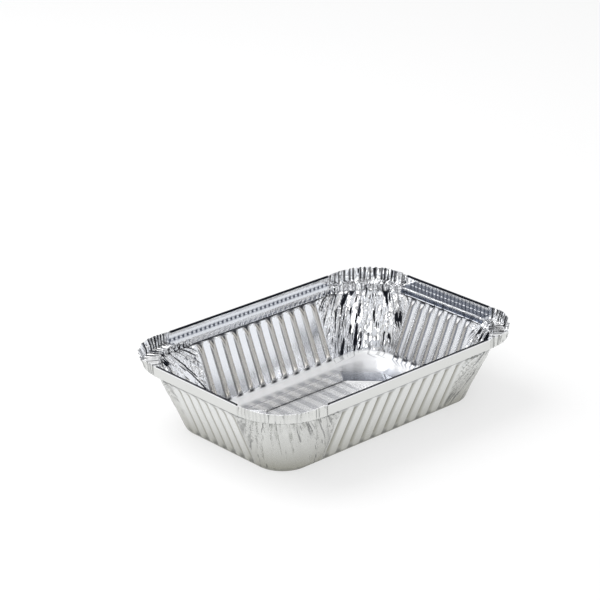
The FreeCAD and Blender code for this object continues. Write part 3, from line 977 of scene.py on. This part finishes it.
class Shader:
    """Node tree of a material or world."""

    def __init__(self, owner):
        owner.use_nodes = True
        self.tree = owner.node_tree
        self.tree.nodes.clear()

    def node(self, kind, settings=None, output=0, **values):
        """Adds a node: its settings first, then values or links of its sockets, by their names or identifiers."""
        node = self.tree.nodes.new("ShaderNode" + kind)
        for name, value in (settings or {}).items():
            if name == "ramp":
                self.set_ramp(node.color_ramp, value)
            else:
                setattr(node, name, value)
        for name, value in values.items():
            socket = self.socket(node, name)
            if isinstance(value, Wire):
                self.tree.links.new(value.socket, socket)
            else:
                socket.default_value = value
        return Wire(self.tree, node.outputs[output])

    @staticmethod
    def socket(node, name):
        """The socket in use that has this name, with _ for spaces, or this identifier."""
        return next(socket for socket in node.inputs
                    if socket.enabled and name in (socket.name.replace(" ", "_"), socket.identifier))

    @staticmethod
    def set_ramp(ramp, stops):
        while len(ramp.elements) < len(stops):
            ramp.elements.new(1.0)
        for element, (place, colour) in zip(ramp.elements, stops):
            element.position = place
            element.color = (*colour, 1.0)

    def mix(self, factor, first, second):
        """Mixes two colours or coloured wires."""
        first, second = (value if isinstance(value, Wire) else (*value[:3], 1.0) for value in (first, second))
        return self.node("Mix", {"data_type": "RGBA"}, 2, Factor_Float=factor, A_Color=first, B_Color=second)

    def clamp(self, wire):
        return self.node("Clamp", Value=wire)

    def axis(self, place, number):
        """One coordinate of a place."""
        return self.node("SeparateXYZ", Vector=place, output=number)

    def split_ramp(self, stops, place):
        """A ramp with more stops than one node holds, as two halves joined in the middle."""
        half = len(stops) // 2
        first = self.node("ValToRGB", {"ramp": stops[:half]}, Fac=place)
        second = self.node("ValToRGB", {"ramp": stops[half:]}, Fac=place)
        past = self.clamp((place - stops[half][0]) * 1000.0)
        return self.mix(past, first, second)

    def noise(self, place, scale, detail):
        """Noise with one scale, or with one for each axis."""
        if isinstance(scale, tuple):
            place, scale = self.node("Mapping", Vector=place, Scale=scale), 1.0
        return self.node("TexNoise", Vector=place, Scale=scale, Detail=detail)

    def output(self, kind, surface):
        node = self.tree.nodes.new("ShaderNodeOutput" + kind)
        self.tree.links.new(surface.socket, node.inputs["Surface"])


def foil_material(material, face):
    """Rolled foil: streaks along the mill direction, soft smudges and a fine grain, crinkled in the corners, with
    painted shade in its creases and crevices and towards the foot, and painted reflection in its grooves and in bar and
    stripe patterns."""
    shader = Shader(material)
    shade, warmth, matte, crinkle, bars, stripes = (
        shader.node("Attribute", {"attribute_name": tone}, output=2) for tone in TONES)
    among = shader.node("Attribute", {"attribute_name": FOLD_PLACE}, output=1)
    place = shader.node("TexCoord", output=3)
    height = shader.axis(place, 2)

    streaks = shader.noise(place, STREAK_SCALE, 3.0)
    smudges = shader.noise(place, SMUDGE_SCALE, 4.0)
    grains = shader.noise(place, GRAIN_SCALE, 2.0)
    fine = shader.noise(place, FINE_SCALE, 3.0)
    folds = shader.noise(among, FOLD_SCALE, 2.0)
    wedges = shader.noise(among, WEDGE_SCALE, 1.0)
    cells = shader.node("TexVoronoi", Vector=shader.node("Mapping", Vector=among, Scale=CELL_SCALE), Scale=1.0)

    # Painted shade: dark stroke marks along the folds of the corners, and under the neck wedges among them
    under_neck = shader.clamp((WEDGE_TOP - height) * 2000.0)
    wedged = shader.clamp((wedges - face.sparse - 0.04) * 40.0) * under_neck
    stroke_shade = (shader.clamp((folds - face.sparse) * 34.0) + wedged) * crinkle
    painted_crease_shade = shader.clamp(shade + stroke_shade) * face.dark

    # Colour: the plain foil, the painted reflection in its grooves, the painted shade towards the foot, on the rim and
    # in crinkles, the painted reflection in bar and stripe patterns, and the painted shade of creases over all
    tint = shader.mix(smudges, tuple(value * 0.93 for value in face.colour), tuple(face.colour))
    # Painted reflection in the grooves
    tint = shader.mix(warmth.math("POWER", face.narrow) * face.groove_share, tint, face.groove)
    # Painted shade: darker towards the foot, a little on the rim and in the corners' crinkles
    rim = shader.clamp((height - RIM_FOOT) * 3000.0)
    low = shader.clamp(1.0 - height * (1 / FOOT_SHADE_TOP))
    tint = shader.mix((low * low * 0.8 + rim * 0.18 + crinkle * (1.0 - rim) * 0.2) * face.fall, tint, PAINTED_SOFT_SHADE_COLOUR)
    # Painted reflection in bar and stripe patterns: navy of dark panels, and the flutes mirrored in the floor
    wave = shader.clamp((shader.axis(place, 0) * (2 * math.pi / STRIPE_PITCH)).math("SINE") * 1.6 + 0.5)
    tint = shader.mix((bars + stripes * wave) * face.barred, tint, PAINTED_REFLECTION_AND_SHADE_COLOUR)
    # Painted shade over all, near black in creases, crevices and the grooves' ends
    tint = shader.mix(painted_crease_shade, tint, PAINTED_SHADE_COLOUR)

    rough = face.roughness + (streaks - 0.5) * face.streak + (smudges - 0.5) * (face.roughness * 0.35)
    rough = rough + matte * MATTE_RISE - crinkle * (face.roughness * face.polish)
    grained = shader.node("Bump", Strength=face.grain, Distance=0.0001,
                          Height=streaks * 0.1 + fine * 0.5 + grains * 0.1)
    bumped = shader.node("Bump", Strength=1.0, Distance=0.0008, Height=(folds + cells * 0.35) * crinkle,
                         Normal=grained)
    surface = shader.node("BsdfPrincipled", Base_Color=tint, Metallic=1.0 - matte * MATTE_METAL, Roughness=rough,
                          Normal=bumped, Specular_IOR_Level=face.gloss)
    shader.output("Material", surface)


class TRAY_OT_finish_foil(Operator):
    """Gives the outside its satin finish and the inside its bright one"""

    bl_idname = "tray.finish_foil"
    bl_label = "Finish the foil"

    def execute(self, context):
        finish = context.scene.foil_tray.finish
        # Painted shade and reflection: the outside's grooves and half-strength crease shade, the inside's ribs and full
        # shade
        outside = Face(colour=finish.outside, roughness=finish.satin, streak=0.10, grain=0.14, groove=finish.groove,
                       groove_share=0.9, narrow=3.0, dark=0.5, barred=0.0, fall=1.0, polish=0.1, sparse=0.63, gloss=0.5)
        inside = Face(colour=finish.inside, roughness=finish.bright, streak=0.04, grain=0.06, groove=finish.rib_reflection,
                      groove_share=0.85, narrow=1.0, dark=1.0, barred=1.0, fall=0.0, polish=0.6, sparse=0.575,
                      gloss=0.5)
        hem = inside._replace(roughness=0.45, grain=0.1, groove_share=0.0, barred=0.0, polish=0.0, sparse=1.0,
                              gloss=0.0)
        for material, face in zip(bpy.data.objects["foil_sheet"].data.materials, (outside, inside, hem)):
            foil_material(material, face)
        return {"FINISHED"}


class TRAY_OT_set_stage(Operator):
    """Sets the floor, the lights, the world and the camera"""

    bl_idname = "tray.set_stage"
    bl_label = "Set the stage"

    def execute(self, context):
        studio = context.scene.foil_tray.studio
        self.add_floor(studio)
        self.add_world(context)
        self.add_light("key", (-0.35, 0.55, 0.95), 1.05, 9.0)
        self.add_light("fill", (-0.9, -0.9, 0.9), 0.5, 3.0)
        self.add_camera(context, studio)
        context.scene.view_settings.view_transform = "Standard"
        return {"FINISHED"}

    @staticmethod
    def add_floor(studio):
        """A pale floor that keeps the tray's shadow and otherwise shows, and is mirrored, as nearly white."""
        fresh_selection()
        bpy.ops.mesh.primitive_plane_add(size=30.0)
        floor = bpy.context.object
        floor.name = "studio_floor"
        floor.data.materials.append(bpy.data.materials.new("floor_paper"))
        shader = Shader(floor.data.materials[0])
        seen, mirrored, through = (shader.node("LightPath", output=number) for number in (0, 3, 6))
        paper = shader.node("BsdfDiffuse", Color=(*studio.floor, 1.0))
        glow = shader.node("Emission", Color=(1.0, 1.0, 1.0, 1.0), Strength=1.0)
        white = seen * 0.6 + mirrored * 0.75 + through
        shader.output("Material", shader.node("MixShader", Fac=white, Shader=paper, Shader_001=glow))

    @staticmethod
    def add_world(context):
        """A white room: pale walls low down, a white ceiling, and between them panels with dark gaps."""
        world = bpy.data.worlds.new("studio_world")
        context.scene.world = world
        shader = Shader(world)
        seen, mirrored = (shader.node("LightPath", output=number) for number in (0, 3))
        place = shader.node("TexCoord", output=0)
        x, y, z = (shader.axis(place, number) for number in range(3))
        turn = y.math("ARCTAN2", x) * (0.5 / math.pi) + 0.5
        colours, edges = [], []
        for start, end, colour, edge in PANELS:
            for stop in (start / 360 + PANEL_EDGE, end / 360 - PANEL_EDGE):
                colours.append((stop, colour))
                edges.append((stop, (edge, edge, edge)))
        panels = shader.split_ramp(colours, turn)
        over = shader.clamp((z - shader.split_ramp(edges, turn)) * 16.0)
        under = shader.clamp((PANEL_TOP - z) * 12.0)
        room = shader.mix(over, PALE_ROOM, shader.mix(under, WHITE, panels))
        plain = shader.node("ValToRGB", {"ramp": DIFFUSE_ROOM}, Fac=z)
        room = shader.mix(mirrored, plain, room)
        shader.output("World", shader.node("Background", Color=shader.mix(seen, room, WHITE), Strength=1.0))

    @staticmethod
    def add_light(name, place, size, power):
        fresh_selection()
        bpy.ops.object.light_add(type="AREA", location=place)
        light = bpy.context.object
        light.name = name
        light.data.shape = "DISK"
        light.data.size = size
        light.data.energy = power
        light.rotation_euler = (-Vector(place)).to_track_quat("-Z", "Y").to_euler()

    @staticmethod
    def add_camera(context, studio):
        turn, lift = studio.azimuth, studio.elevation
        back = Vector((math.sin(turn) * math.cos(lift), -math.cos(turn) * math.cos(lift), math.sin(lift)))
        target = Vector(studio.target)
        fresh_selection()
        bpy.ops.object.camera_add(location=target + back * studio.distance)
        camera = bpy.context.object
        camera.rotation_euler = (-back).to_track_quat("-Z", "Y").to_euler()
        camera.data.sensor_width = 36.0
        camera.data.lens = studio.lens
        camera.data.clip_end = 100.0
        context.scene.camera = camera


class TrayTools(PropertyGroup):
    """All settings of the tray"""

    shape: PointerProperty(type=TrayShape)
    flutes: PointerProperty(type=FluteShape)
    finish: PointerProperty(type=FoilFinish)
    studio: PointerProperty(type=StudioSettings)


STEPS = (TRAY_OT_press_sheet, TRAY_OT_finish_foil, TRAY_OT_set_stage)


class TRAY_PT_panel(Panel):
    """Steps that make the tray, in order"""

    bl_idname = "TRAY_PT_panel"
    bl_label = "Foil Tray"
    bl_space_type = "VIEW_3D"
    bl_region_type = "UI"
    bl_category = "Foil Tray"

    def draw(self, context):
        for step in STEPS:
            self.layout.operator(step.bl_idname)
        tools = context.scene.foil_tray
        for group in (tools.shape, tools.flutes, tools.finish, tools.studio):
            box = self.layout.box()
            for name in group.bl_rna.properties.keys():
                if name not in ("name", "rna_type"):
                    box.prop(group, name)


CLASSES = (TrayShape, FluteShape, FoilFinish, StudioSettings, TrayTools, *STEPS, TRAY_PT_panel)


def register():
    for entry in CLASSES:
        bpy.utils.register_class(entry)
    bpy.types.Scene.foil_tray = PointerProperty(type=TrayTools)


def unregister():
    del bpy.types.Scene.foil_tray
    for entry in reversed(CLASSES):
        bpy.utils.unregister_class(entry)


def main():
    register()
    bpy.ops.tray.press_sheet()
    bpy.ops.tray.finish_foil()
    bpy.ops.tray.set_stage()


if __name__ == "__main__":
    main()
